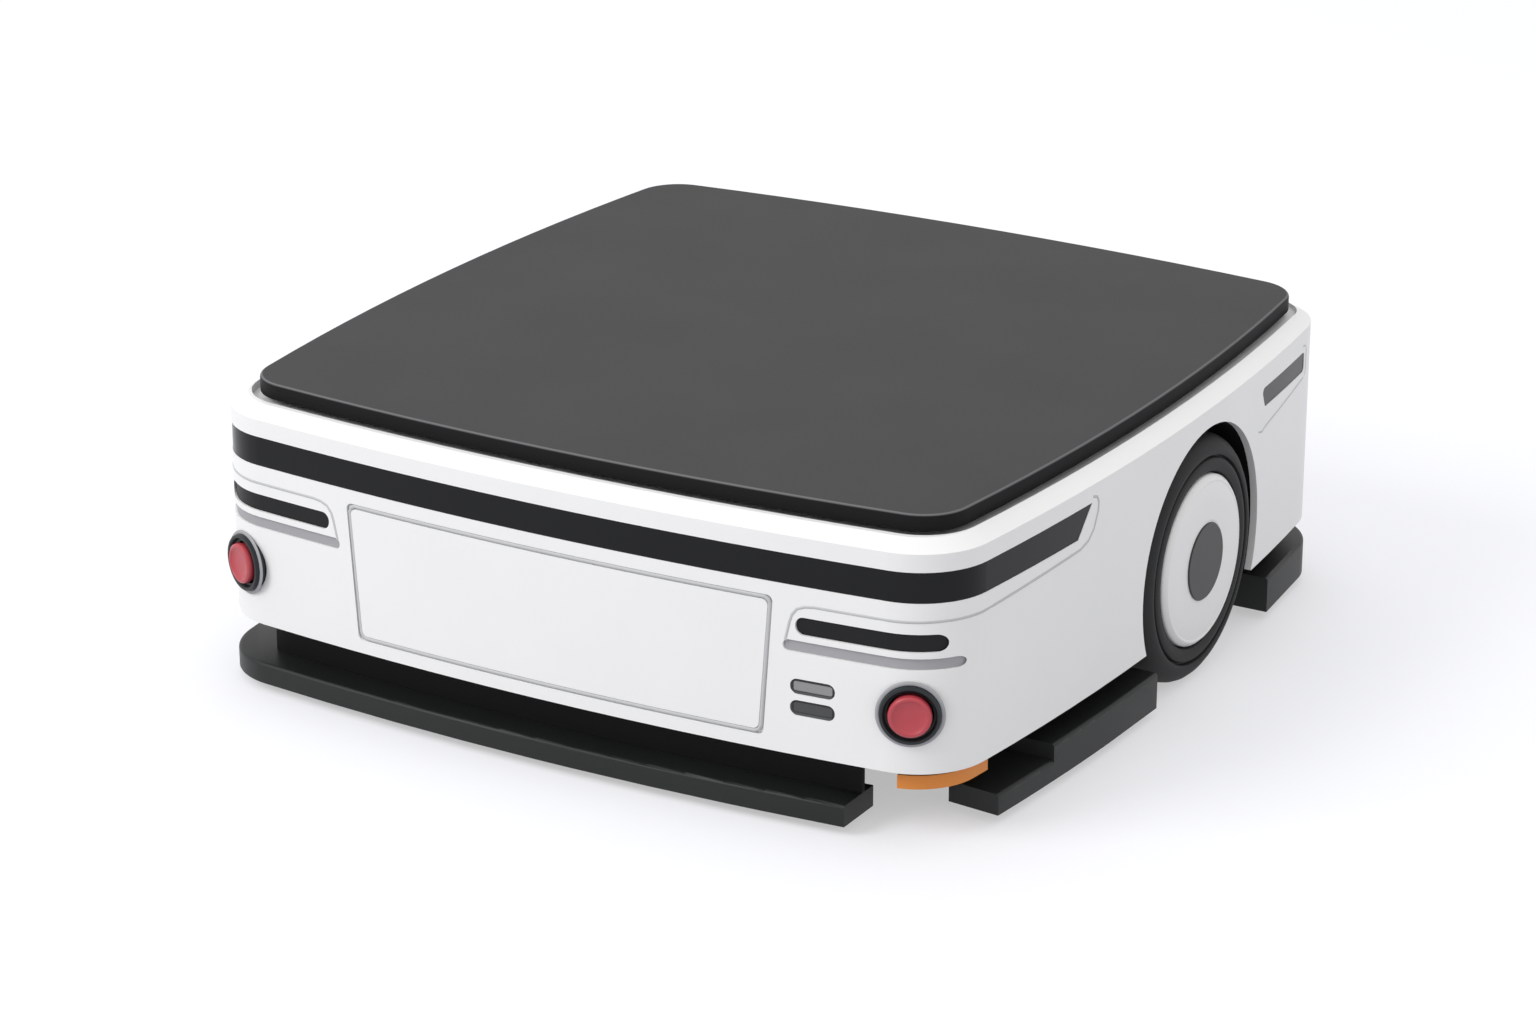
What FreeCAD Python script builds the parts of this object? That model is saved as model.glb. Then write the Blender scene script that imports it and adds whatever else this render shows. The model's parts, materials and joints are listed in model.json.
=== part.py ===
import FreeCAD, Part
import Sketcher
import math
import os

# A low autonomous mobile robot with a lifting deck, standing on its wheels.
# Millimetres, +Z up, front towards -Y, right side towards +X.
# The origin is on the floor, under the middle of the machine.

os.makedirs("parts", exist_ok=True)
doc = FreeCAD.newDocument("mobile_robot")

# Driving dimensions: name, value
DIMENSIONS = (
    # plan outline of the cover: four shallow bows joined by round corners
    ("cover_half_width", 350),
    ("cover_half_length", 352),
    ("end_bow_radius", 2600),
    ("side_bow_radius", 2450),
    ("corner_radius", 60),
    # heights and walls of the cover
    ("cover_bottom", 58),
    ("cover_top", 238),
    ("cover_wall", 6),
    ("rim_chamfer_width", 14),
    ("rim_chamfer_drop", 8),
    ("seat_gap", 0.3),
    # lifting deck
    ("deck_gap", 7),
    ("deck_shift", 5),
    ("deck_recess_depth", 6),
    ("deck_ledge_width", 22),
    ("deck_ledge_thickness", 4),
    ("deck_edge_height", 13),
    ("deck_skin", 5),
    ("deck_lip_width", 12),
    ("deck_top", 251),
    ("deck_edge_round", 2.5),
    ("deck_pan_thickness", 4),
    ("post_radius", 15),
    ("post_bottom", 152),
    ("post_head_radius", 30),
    ("post_place_x", 185),
    ("post_place_y", 150),
    ("post_running_gap", 0.08),
    ("guide_wall", 7),
    ("guide_bottom", 188),
    ("guide_collar_radius", 32),
    # drive wheels
    ("wheel_radius", 102),
    ("wheel_place_y", 60),
    ("wheel_outer_face", 347),
    ("tyre_width", 46),
    ("tyre_shoulder", 9),
    ("rim_radius", 70),
    ("rim_recess", 5),
    ("hubcap_thickness", 7),
    ("hubcap_dome", 3),
    ("badge_radius", 32),
    ("badge_thickness", 2),
    ("tyre_groove_radius", 90),
    ("tyre_groove_width", 3),
    ("arch_radius", 112),
    ("well_wall", 3),
    ("well_inner_face", 262),
    ("axle_radius", 10),
    ("axle_running_gap", 0.05),
    ("axle_hole_radius", 24),
    ("motor_radius", 34),
    ("motor_length", 118),
    ("gearbox_radius", 37),
    ("gearbox_length", 50),
    ("motor_foot_width", 46),
    # chassis
    ("chassis_thickness", 6),
    ("caster_hole_radius", 70),
    ("caster_place_x", 172),
    ("front_caster_y", -212),
    ("rear_caster_y", 238),
    ("bracket_height", 36),
    ("bracket_thickness", 4),
    ("bracket_half_span", 80),
    ("bracket_half_width", 42),
    ("bracket_flange", 10),
    ("battery_length", 108),
    ("battery_width", 320),
    ("battery_height", 118),
    ("battery_place_y", -50),
    # casters
    ("caster_wheel_radius", 37.5),
    ("caster_wheel_width", 30),
    ("caster_trail", 26),
    ("caster_plate_half", 42),
    ("caster_plate_thickness", 4),
    ("caster_pin_radius", 8),
    ("fork_wall", 4),
    ("fork_side_gap", 5),
    ("caster_axle_radius", 5),
    # bumpers
    ("bumper_bottom", 8),
    ("low_bar_top", 25),
    ("side_bar_top", 38),
    ("bumper_proud", 2),
    ("bumper_depth", 42),
    ("bumper_round", 3),
    ("skirt_inset", 25),
    ("skirt_wall", 4),
    ("front_bar_right_end", 249),
    ("bar_wrap_y", 268),
    ("corner_bar_start", 262),
    ("side_bar_front", 190),
    ("side_bar_rear", -26),
    ("side_skirt_rear", -50),
    ("rear_wrap_start", 200),
    ("rear_corner_bar_start", 236),
    ("skirt_bar_left", -290),
    # trim set into the cover
    ("trim_depth", 3),
    ("band_bottom", 192),
    ("band_top", 216),
    ("band_end_top", 139),
    ("band_end_bottom", 159),
    ("rear_window_front_top", 172),
    ("rear_window_front_bottom", 180),
    ("rear_window_rear", 277),
    ("rear_window_bottom", 194),
    ("rear_window_top", 211),
    ("rear_band_half", 255),
    ("slot_inner", 208),
    ("slot_outer", 320),
    ("slot_bottom", 154),
    ("slot_top", 168),
    ("ledge_inner", 198),
    ("ledge_outer", 328),
    ("ledge_bottom", 140),
    ("ledge_top", 149),
    ("panel_top_half", 186),
    ("panel_bottom_half", 178),
    ("panel_top", 177),
    ("panel_bottom", 73),
    ("panel_groove", 4),
    ("panel_corner", 5),
    ("port_inner", 204),
    ("port_outer", 240),
    ("upper_port_bottom", 107),
    ("lower_port_bottom", 90),
    ("port_height", 12),
    ("stop_place_x", 298),
    ("stop_height", 106),
    ("stop_button_radius", 16.5),
    ("stop_collar_radius", 23),
    ("stop_reach", 13),
    ("stop_collar_reach", 5),
    # laser scanners at two opposite corners
    ("scanner_place_x", 284),
    ("scanner_place_y", 272),
    ("scanner_base_inset", 9),
    ("scanner_base_bottom", 42),
    ("scanner_base_top", 53),
    ("scanner_base_front", 292),
    ("scanner_base_side", 264),
    ("scanner_head_radius", 36),
    ("scanner_head_top", 79),
    ("scanner_cut_radius", 50),
)

sheet = doc.addObject("Spreadsheet::Sheet", "dims")
for row, (name, value) in enumerate(DIMENSIONS, start=1):
    sheet.set("A%d" % row, name)
    sheet.set("B%d" % row, str(value))
    sheet.setAlias("B%d" % row, name)
doc.recompute()


class Size:
    """A length together with the sheet expression that it comes from."""

    def __init__(self, value, text):
        self.value = float(value)
        self.text = text

    def __add__(self, other):
        other = as_size(other)
        return Size(self.value + other.value, "(%s + %s)" % (self.text, other.text))

    def __sub__(self, other):
        other = as_size(other)
        return Size(self.value - other.value, "(%s - %s)" % (self.text, other.text))

    def __mul__(self, other):
        other = as_size(other)
        return Size(self.value * other.value, "(%s * %s)" % (self.text, other.text))

    def __radd__(self, other):
        return as_size(other) + self

    def __rsub__(self, other):
        return as_size(other) - self

    def __neg__(self):
        return Size(-self.value, "(-1 * %s)" % self.text)


def as_size(number):
    if isinstance(number, Size):
        return number
    return Size(number, repr(float(number)))


class Sheet:
    """Reads a driving dimension by its name."""

    def __getattr__(self, name):
        return Size(getattr(sheet, name), "dims." + name)


d = Sheet()
ZERO = as_size(0)


def bind(feature, prop, size):
    """Ties one property of a feature to the sheet."""
    size = as_size(size)
    feature.setExpression(prop, size.text)


def new_body(name):
    body = doc.addObject("PartDesign::Body", name)
    body.Label = name
    return body


def plane(body, role):
    for item in body.Origin.OriginFeatures:
        if item.Role == role:
            return item
    raise ValueError(role)


def new_sketch(body, role, name, height=ZERO):
    """A sketch on one of the body's own planes, lifted along the plane's normal."""
    sketch = body.newObject("Sketcher::SketchObject", name)
    sketch.AttachmentSupport = [(plane(body, role), "")]
    sketch.MapMode = "FlatFace"
    bind(sketch, "AttachmentOffset.Base.z", height)
    return sketch


def fix(sketch, kind, parts, size):
    """Adds a dimension to a sketch and ties it to the sheet."""
    size = as_size(size)
    number = sketch.addConstraint(Sketcher.Constraint(kind, *parts, size.value))
    sketch.setExpression("Constraints[%d]" % number, size.text)


def draw_polygon(sketch, points):
    """A closed polygon whose corners are each placed from the origin."""
    first = sketch.GeometryCount
    corners = [(as_size(x), as_size(y)) for x, y in points]
    count = len(corners)
    for i, (x, y) in enumerate(corners):
        x2, y2 = corners[(i + 1) % count]
        start = FreeCAD.Vector(x.value, y.value, 0)
        end = FreeCAD.Vector(x2.value, y2.value, 0)
        sketch.addGeometry(Part.LineSegment(start, end), False)
    for i in range(count):
        after = first + (i + 1) % count
        sketch.addConstraint(Sketcher.Constraint("Coincident", first + i, 2, after, 1))
    for i, (x, y) in enumerate(corners):
        fix(sketch, "DistanceX", (-1, 1, first + i, 1), x)
        fix(sketch, "DistanceY", (-1, 1, first + i, 1), y)


def draw_circle(sketch, x, y, radius):
    x, y, radius = as_size(x), as_size(y), as_size(radius)
    centre = FreeCAD.Vector(x.value, y.value, 0)
    normal = FreeCAD.Vector(0, 0, 1)
    circle = sketch.addGeometry(Part.Circle(centre, normal, radius.value), False)
    fix(sketch, "Radius", (circle,), radius)
    fix(sketch, "DistanceX", (-1, 1, circle, 3), x)
    fix(sketch, "DistanceY", (-1, 1, circle, 3), y)


def corner_centre(inset=0.0):
    """Centre of the front right corner's round, from the bows that it joins."""
    end = d.end_bow_radius.value
    side = d.side_bow_radius.value
    corner = d.corner_radius.value
    end_centre = end - d.cover_half_length.value
    side_centre = d.cover_half_width.value - side
    reach_end = end - corner
    reach_side = side - corner
    # the point at reach_end from (0, end_centre) and at reach_side from (side_centre, 0)
    apart = math.hypot(side_centre, end_centre)
    along = (reach_end ** 2 - reach_side ** 2 + apart ** 2) / (2 * apart)
    aside = math.sqrt(reach_end ** 2 - along ** 2)
    ux = side_centre / apart
    uy = -end_centre / apart
    choices = []
    for turn in (1, -1):
        x = ux * along - uy * aside * turn
        y = end_centre + uy * along + ux * aside * turn
        choices.append((x, y))
    return max(choices, key=lambda point: point[0] - point[1])


def draw_outline(sketch, inset, shift=ZERO):
    """The cover's plan outline, moved inwards by an inset: four bows, four rounds."""
    inset, shift = as_size(inset), as_size(shift)
    end_radius = d.end_bow_radius - inset
    side_radius = d.side_bow_radius - inset
    round_radius = d.corner_radius - inset
    end_offset = d.end_bow_radius - d.cover_half_length
    side_offset = d.side_bow_radius - d.cover_half_width
    cx, cy = corner_centre()
    cy = -cy
    end_half = math.degrees(math.atan2(cx, end_offset.value + cy))
    side_half = math.degrees(math.atan2(cy, side_offset.value + cx))
    # name, centre x, centre y, radius, first angle, last angle
    arcs = (
        ("front", 0, end_offset.value, end_radius, -90 - end_half, -90 + end_half),
        ("front right", cx, -cy, round_radius, -90 + end_half, -side_half),
        ("right", -side_offset.value, 0, side_radius, -side_half, side_half),
        ("rear right", cx, cy, round_radius, side_half, 90 - end_half),
        ("rear", 0, -end_offset.value, end_radius, 90 - end_half, 90 + end_half),
        ("rear left", -cx, cy, round_radius, 90 + end_half, 180 - side_half),
        ("left", side_offset.value, 0, side_radius, 180 - side_half, 180 + side_half),
        ("front left", -cx, -cy, round_radius, 180 + side_half, 270 - end_half),
    )
    first = sketch.GeometryCount
    for name, x, y, radius, start, end in arcs:
        centre = FreeCAD.Vector(x, y + shift.value, 0)
        circle = Part.Circle(centre, FreeCAD.Vector(0, 0, 1), radius.value)
        arc = Part.ArcOfCircle(circle, math.radians(start), math.radians(end))
        sketch.addGeometry(arc, False)
    for i in range(8):
        after = first + (i + 1) % 8
        sketch.addConstraint(Sketcher.Constraint("Tangent", first + i, 2, after, 1))
    for i, (name, x, y, radius, start, end) in enumerate(arcs):
        fix(sketch, "Radius", (first + i,), radius)
    # bow number, centre x, centre y
    centres = (
        (0, ZERO, end_offset + shift),
        (2, -side_offset, shift),
        (4, ZERO, shift - end_offset),
        (6, side_offset, shift),
    )
    for bow, x, y in centres:
        fix(sketch, "DistanceX", (-1, 1, first + bow, 3), x)
        fix(sketch, "DistanceY", (-1, 1, first + bow, 3), y)


def pad(body, sketch, name, length, both_ways=False, backwards=False):
    feature = body.newObject("PartDesign::Pad", name)
    feature.Profile = sketch
    bind(feature, "Length", length)
    feature.Midplane = both_ways
    feature.Reversed = backwards
    body.Tip = feature
    sketch.Visibility = False
    doc.recompute()
    return feature


def pocket(body, sketch, name, depth=None, both_ways=False, backwards=False):
    """Cuts a sketch into the body; the volume has to become less."""
    before = body.Shape.Volume
    feature = body.newObject("PartDesign::Pocket", name)
    feature.Profile = sketch
    if depth is None:
        feature.Type = "ThroughAll"
    else:
        bind(feature, "Length", depth)
    feature.Midplane = both_ways
    feature.Reversed = backwards
    body.Tip = feature
    doc.recompute()
    if body.Shape.Volume >= before:
        raise ValueError("%s cuts nothing" % name)
    return feature


def edge_names(shape, test):
    return ["Edge%d" % (i + 1) for i, edge in enumerate(shape.Edges) if test(edge)]


def level_edges(z):
    """Picks the edges that lie at one height."""
    def test(edge):
        box = edge.BoundBox
        return abs(box.ZMin - z) < 1e-4 and abs(box.ZMax - z) < 1e-4
    return test


def edges_along(axis):
    """Picks the straight edges that run along one axis."""
    def test(edge):
        if not isinstance(edge.Curve, Part.Line):
            return False
        return abs(abs(edge.tangentAt(edge.FirstParameter).dot(axis)) - 1) < 1e-6
    return test


def fillet(body, base, names, name, radius):
    feature = body.newObject("PartDesign::Fillet", name)
    feature.Base = (base, names)
    bind(feature, "Radius", radius)
    body.Tip = feature
    doc.recompute()
    return feature


def plan_solid(name, inset, bottom, top, inner_inset=None, shift=ZERO):
    """A plate or, with an inner inset, a ring that follows the cover's outline."""
    bottom, top = as_size(bottom), as_size(top)
    body = new_body(name)
    sketch = new_sketch(body, "XY_Plane", name + "_outline", bottom)
    draw_outline(sketch, inset, shift)
    if inner_inset is not None:
        draw_outline(sketch, inner_inset, shift)
    pad(body, sketch, name + "_pad", top - bottom)
    return body


# how far each way a cutting prism reaches past the machine
FAR = as_size(900)
AXES = {"XY_Plane": FreeCAD.Vector(0, 0, 1), "XZ_Plane": FreeCAD.Vector(0, 1, 0),
        "YZ_Plane": FreeCAD.Vector(1, 0, 0)}


def prism(name, role, points, rounding=None, both_ways=False, backwards=False, length=FAR):
    """A polygon on one of the main planes, drawn out along that plane's normal."""
    body = new_body(name)
    sketch = new_sketch(body, role, name + "_profile")
    draw_polygon(sketch, points)
    feature = pad(body, sketch, name + "_pad", length, both_ways, backwards)
    if rounding is not None:
        names = edge_names(feature.Shape, edges_along(AXES[role]))
        fillet(body, feature, names, name + "_rounds", rounding)
    return body


def mirrored(points):
    return [(-as_size(x), y) for x, y in points]


def common(name, base, tool):
    feature = doc.addObject("Part::Common", name)
    feature.Base = base
    feature.Tool = tool
    feature.Label = name
    doc.recompute()
    return feature


def cut(name, base, tool):
    feature = doc.addObject("Part::Cut", name)
    feature.Base = base
    feature.Tool = tool
    feature.Label = name
    doc.recompute()
    return feature


def fuse(name, items):
    feature = doc.addObject("Part::MultiFuse", name)
    feature.Shapes = items
    feature.Label = name
    doc.recompute()
    return feature


def group(name, items):
    """Several solids of one kind kept under one name."""
    feature = doc.addObject("Part::Compound", name)
    feature.Links = items
    feature.Label = name
    doc.recompute()
    return feature


def cylinder(name, radius, height, place, direction=(0, 0, 1)):
    """An upright cylinder, or one along another direction; place is its start."""
    feature = doc.addObject("Part::Cylinder", name)
    feature.Label = name
    bind(feature, "Radius", radius)
    bind(feature, "Height", height)
    turn = FreeCAD.Rotation(FreeCAD.Vector(0, 0, 1), FreeCAD.Vector(*direction))
    feature.Placement = FreeCAD.Placement(FreeCAD.Vector(0, 0, 0), turn)
    for axis, value in zip("xyz", place):
        bind(feature, "Placement.Base." + axis, value)
    doc.recompute()
    return feature


def box(name, low, high):
    """A box between two corners."""
    low = [as_size(v) for v in low]
    high = [as_size(v) for v in high]
    feature = doc.addObject("Part::Box", name)
    feature.Label = name
    bind(feature, "Length", high[0] - low[0])
    bind(feature, "Width", high[1] - low[1])
    bind(feature, "Height", high[2] - low[2])
    for axis, value in zip("xyz", low):
        bind(feature, "Placement.Base." + axis, value)
    doc.recompute()
    return feature


def revolved(name, points, place, direction=(1, 0, 0)):
    """A turned piece: points are (radius, position along the axis)."""
    body = new_body(name)
    sketch = new_sketch(body, "XZ_Plane", name + "_profile")
    draw_polygon(sketch, points)
    feature = body.newObject("PartDesign::Revolution", name + "_turn")
    feature.Profile = sketch
    feature.ReferenceAxis = (sketch, ["V_Axis"])
    feature.Angle = 360
    body.Tip = feature
    turn = FreeCAD.Rotation(FreeCAD.Vector(0, 0, 1), FreeCAD.Vector(*direction))
    body.Placement = FreeCAD.Placement(FreeCAD.Vector(0, 0, 0), turn)
    for axis, value in zip("xyz", place):
        bind(body, "Placement.Base." + axis, value)
    doc.recompute()
    return body


SUB_PARTS = []


def keep(feature):
    SUB_PARTS.append(feature)
    return feature


SIDES = (("right", 1), ("left", -1))
CORNERS = (
    ("front_right", 1, -1),
    ("front_left", -1, -1),
    ("rear_right", 1, 1),
    ("rear_left", -1, 1),
)
deck_recess_floor = d.cover_top - d.deck_recess_depth
ledge_underside = deck_recess_floor - d.deck_ledge_thickness
chassis_top = d.cover_bottom + d.chassis_thickness
deck_inset = d.rim_chamfer_width + d.deck_gap
deck_underside = d.deck_top - d.deck_edge_height


# Trim outlines, each as (across, up) in the plane that it is cut in
def band_profile():
    return [(-FAR, d.band_bottom), (-d.band_end_bottom, d.band_bottom),
            (-d.band_end_top, d.band_top), (-FAR, d.band_top)]


def rear_window_profile():
    return [(d.rear_window_front_bottom, d.rear_window_bottom),
            (d.rear_window_rear, d.rear_window_bottom),
            (d.rear_window_rear, d.rear_window_top),
            (d.rear_window_front_top, d.rear_window_top)]


def rear_band_profile():
    return rectangle(-d.rear_band_half, d.rear_band_half, d.rear_window_bottom,
                     d.rear_window_top)


def rectangle(low_x, high_x, low_z, high_z):
    return [(low_x, low_z), (high_x, low_z), (high_x, high_z), (low_x, high_z)]


def panel_profile(margin):
    return [(-d.panel_bottom_half - margin, d.panel_bottom - margin),
            (d.panel_bottom_half + margin, d.panel_bottom - margin),
            (d.panel_top_half + margin, d.panel_top + margin),
            (-d.panel_top_half - margin, d.panel_top + margin)]


def trim_prisms(suffix, margin):
    """The outlines of everything that is let into the cover, a little larger or as is."""
    half_slot = (d.slot_top - d.slot_bottom) * 0.48
    half_ledge = (d.ledge_top - d.ledge_bottom) * 0.48
    half_port = d.port_height * 0.48
    slot = rectangle(d.slot_inner, d.slot_outer, d.slot_bottom, d.slot_top)
    ledge = rectangle(d.ledge_inner, d.ledge_outer, d.ledge_bottom, d.ledge_top)
    upper = rectangle(d.port_inner, d.port_outer, d.upper_port_bottom,
                      d.upper_port_bottom + d.port_height)
    lower = rectangle(d.port_inner, d.port_outer, d.lower_port_bottom,
                      d.lower_port_bottom + d.port_height)
    return {
        "band": prism("band_shape" + suffix, "YZ_Plane", band_profile(), both_ways=True,
                      length=FAR * 2),
        "windows": prism("window_shape" + suffix, "YZ_Plane", rear_window_profile(), 4,
                         both_ways=True, length=FAR * 2),
        "slots": fuse("slot_shapes" + suffix, [
            prism("slot_right" + suffix, "XZ_Plane", slot, half_slot),
            prism("slot_left" + suffix, "XZ_Plane", mirrored(slot), half_slot)]),
        "ledges": fuse("ledge_shapes" + suffix, [
            prism("ledge_right" + suffix, "XZ_Plane", ledge, half_ledge),
            prism("ledge_left" + suffix, "XZ_Plane", mirrored(ledge), half_ledge)]),
        "ports": fuse("port_shapes" + suffix, [
            prism("port_upper" + suffix, "XZ_Plane", upper, half_port),
            prism("port_lower" + suffix, "XZ_Plane", lower, half_port)]),
        "panel": prism("panel_shape" + suffix, "XZ_Plane", panel_profile(margin),
                       d.panel_corner),
        "rear_band": prism("rear_band_shape" + suffix, "XZ_Plane", rear_band_profile(), 4,
                           backwards=True),
    }


def make_cover(trim):
    """The hollow white cover: outline, rim, deck recess, wheel arches and let-in trim."""
    body = new_body("cover_blank")
    sketch = new_sketch(body, "XY_Plane", "cover_outline", d.cover_bottom)
    draw_outline(sketch, ZERO)
    block = pad(body, sketch, "cover_block", d.cover_top - d.cover_bottom)
    rim = body.newObject("PartDesign::Chamfer", "rim_slope")
    rim.Base = (block, edge_names(block.Shape, level_edges(d.cover_top.value)))
    rim.ChamferType = "Two distances"
    bind(rim, "Size", d.rim_chamfer_drop)
    bind(rim, "Size2", d.rim_chamfer_width)
    body.Tip = rim
    doc.recompute()
    inner = new_sketch(body, "XY_Plane", "cover_inside", d.cover_bottom)
    draw_outline(inner, d.cover_wall)
    pocket(body, inner, "cover_hollow", ledge_underside - d.cover_bottom, backwards=True)
    recess = new_sketch(body, "XY_Plane", "deck_recess_outline", d.cover_top)
    draw_outline(recess, d.rim_chamfer_width, d.deck_shift)
    pocket(body, recess, "deck_recess", d.deck_recess_depth)
    mouth = new_sketch(body, "XY_Plane", "deck_mouth_outline", d.cover_top)
    draw_outline(mouth, d.rim_chamfer_width + d.deck_ledge_width, d.deck_shift)
    pocket(body, mouth, "deck_mouth", d.cover_top - ledge_underside)
    arch = new_sketch(body, "YZ_Plane", "arch_outline")
    draw_circle(arch, d.wheel_place_y, d.wheel_radius, d.arch_radius)
    pocket(body, arch, "wheel_arches", None, both_ways=True)
    skin = plan_solid("trim_depth_ring", as_size(-6), d.cover_bottom - 5, d.cover_top,
                      d.trim_depth)
    shapes = [trim["band"], trim["windows"], trim["slots"], trim["ledges"], trim["ports"],
              trim["panel"], trim["rear_band"]]
    recesses = common("trim_recesses", skin, fuse("trim_shapes", shapes))
    return cut("cover_with_trim", body, recesses)


def check(features):
    for item in doc.Objects:
        if "Invalid" in item.State or "Error" in item.State:
            raise ValueError("%s failed: %s" % (item.Name, item.State))
    for feature in features:
        shape = feature.Shape
        if shape.isNull() or not shape.isValid() or not shape.Solids:
            raise ValueError("%s has no sound shape" % feature.Label)


def outer_top_edges(body, inset, z):
    """The top edges of a ring on its outer outline, told apart by their radii."""
    inset = as_size(inset).value
    radii = [r.value - inset for r in (d.end_bow_radius, d.side_bow_radius, d.corner_radius)]
    on_top = level_edges(as_size(z).value)

    def test(edge):
        return on_top(edge) and min(abs(edge.Curve.Radius - r) for r in radii) < 1e-4
    return edge_names(body.Shape, test)


def bumper_ring(name, top):
    """A bumper section that follows the outline all round, its top edge rounded."""
    ring = plan_solid(name, -d.bumper_proud, d.bumper_bottom, top, d.bumper_depth)
    names = outer_top_edges(ring, -d.bumper_proud, top)
    fillet(ring, ring.Tip, names, name + "_edge", d.bumper_round)
    return ring


def area(name, points):
    """An upright prism over a plan area, to take a length out of a ring."""
    return prism(name, "XY_Plane", points)


def half_turn(points):
    """The same plan area turned half round, for the opposite corner."""
    return [(-as_size(x), -as_size(y)) for x, y in points]


def make_bumpers():
    low = bumper_ring("low_bumper_ring", d.low_bar_top)
    high = bumper_ring("side_bumper_ring", d.side_bar_top)
    front = [(-FAR, -FAR), (d.front_bar_right_end, -FAR),
             (d.front_bar_right_end, ZERO), (ZERO, ZERO), (ZERO, -d.bar_wrap_y),
             (-FAR, -d.bar_wrap_y)]
    keep(common("front_bumper", low, area("front_bumper_area", front)))
    corner = [(d.front_bar_right_end + 41, -d.corner_bar_start), (FAR, -d.corner_bar_start - 60),
              (FAR, -d.side_bar_front), (d.front_bar_right_end, -d.side_bar_front)]
    side = [(d.cover_half_width - 80, -d.side_bar_front), (FAR, -d.side_bar_front),
            (FAR, d.side_bar_rear), (d.cover_half_width - 80, d.side_bar_rear)]
    keep(fuse("right_bumper", [
        common("right_corner_bar", low, area("right_corner_area", corner)),
        common("right_side_bar", high, area("right_side_area", side))]))
    left_side = [(-FAR, -d.side_bar_front), (100 - d.cover_half_width, -d.side_bar_front),
                 (100 - d.cover_half_width, d.side_bar_rear), (-FAR, d.side_bar_rear)]
    keep(common("left_bumper", high, area("left_side_area", left_side)))
    rear = [(-d.front_bar_right_end, FAR), (-d.front_bar_right_end, ZERO),
            (d.rear_corner_bar_start, ZERO), (d.rear_corner_bar_start, FAR)]
    keep(common("rear_bumper", low, area("rear_bumper_area", rear)))
    rear_right = [(d.rear_corner_bar_start, FAR), (d.rear_corner_bar_start, d.rear_wrap_start),
                  (FAR, d.rear_wrap_start), (FAR, FAR)]
    keep(common("rear_right_bumper", high, area("rear_right_area", rear_right)))
    keep(common("rear_left_bumper", low, area("rear_left_area", [
        (-d.front_bar_right_end, d.rear_wrap_start), (-FAR, d.rear_wrap_start),
        (-FAR, d.corner_bar_start + 60), (-d.front_bar_right_end - 41, d.corner_bar_start)])))


def make_skirts():
    """Dark walls between the bumpers and the chassis."""
    low = plan_solid("low_skirt_ring", d.skirt_inset, d.low_bar_top, d.cover_bottom,
                     d.skirt_inset + d.skirt_wall)
    high = plan_solid("high_skirt_ring", d.skirt_inset, d.side_bar_top, d.cover_bottom,
                      d.skirt_inset + d.skirt_wall)
    front = [(d.skirt_bar_left, -FAR), (d.front_bar_right_end, -FAR),
             (d.front_bar_right_end, ZERO), (d.skirt_bar_left, ZERO)]
    keep(common("front_skirt", low, area("front_skirt_area", front)))
    rear = [(-d.front_bar_right_end, FAR), (-d.front_bar_right_end, ZERO),
            (d.rear_corner_bar_start, ZERO), (d.rear_corner_bar_start, FAR)]
    keep(common("rear_skirt", low, area("rear_skirt_area", rear)))
    right = [(ZERO, -d.side_bar_front), (FAR, -d.side_bar_front),
             (FAR, d.side_skirt_rear), (ZERO, d.side_skirt_rear)]
    rear_right = [(d.rear_corner_bar_start, FAR), (d.rear_corner_bar_start, d.rear_wrap_start),
                  (FAR, d.rear_wrap_start), (FAR, FAR)]
    rear_left = [(-FAR, d.rear_wrap_start), (ZERO, d.rear_wrap_start),
                 (ZERO, d.rear_wrap_start + 26), (-FAR, d.rear_wrap_start + 26)]
    keep(group("side_skirts", [
        common("right_skirt", high, area("right_skirt_area", right)),
        common("left_skirt", high, area("left_skirt_area", mirrored(right))),
        common("rear_right_skirt", high, area("rear_right_skirt_area", rear_right)),
        common("rear_left_skirt", low, area("rear_left_skirt_area", rear_left))]))


def make_trim(trim):
    """Dark bands, windows, slots, ledges and the service panel, set into the recesses."""
    back = d.trim_depth - d.seat_gap
    flush = plan_solid("flush_trim_ring", ZERO, d.cover_bottom, d.cover_top, back)
    glass = plan_solid("glass_trim_ring", as_size(0.5), d.cover_bottom, d.cover_top, back)
    deep = plan_solid("deep_trim_ring", as_size(1.7), d.cover_bottom, d.cover_top, back)
    keep(common("front_band", glass, trim["band"]))
    keep(common("side_windows", glass, trim["windows"]))
    keep(common("rear_band", glass, trim["rear_band"]))
    keep(common("sensor_slots", deep, trim["slots"]))
    keep(common("slot_ledges", deep, trim["ledges"]))
    keep(common("service_ports", deep, trim["ports"]))
    keep(common("service_panel", flush, trim["panel"]))


def stop_place(side):
    """Where the emergency stop stands on the round corner, and its outward direction."""
    cx, cy = corner_centre()
    radius = d.corner_radius.value
    across = (d.stop_place_x.value - cx) / radius
    outward = -math.sqrt(1 - across ** 2)
    return (side * (cx + across * radius), cy + outward * radius, side * across, outward)


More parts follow.
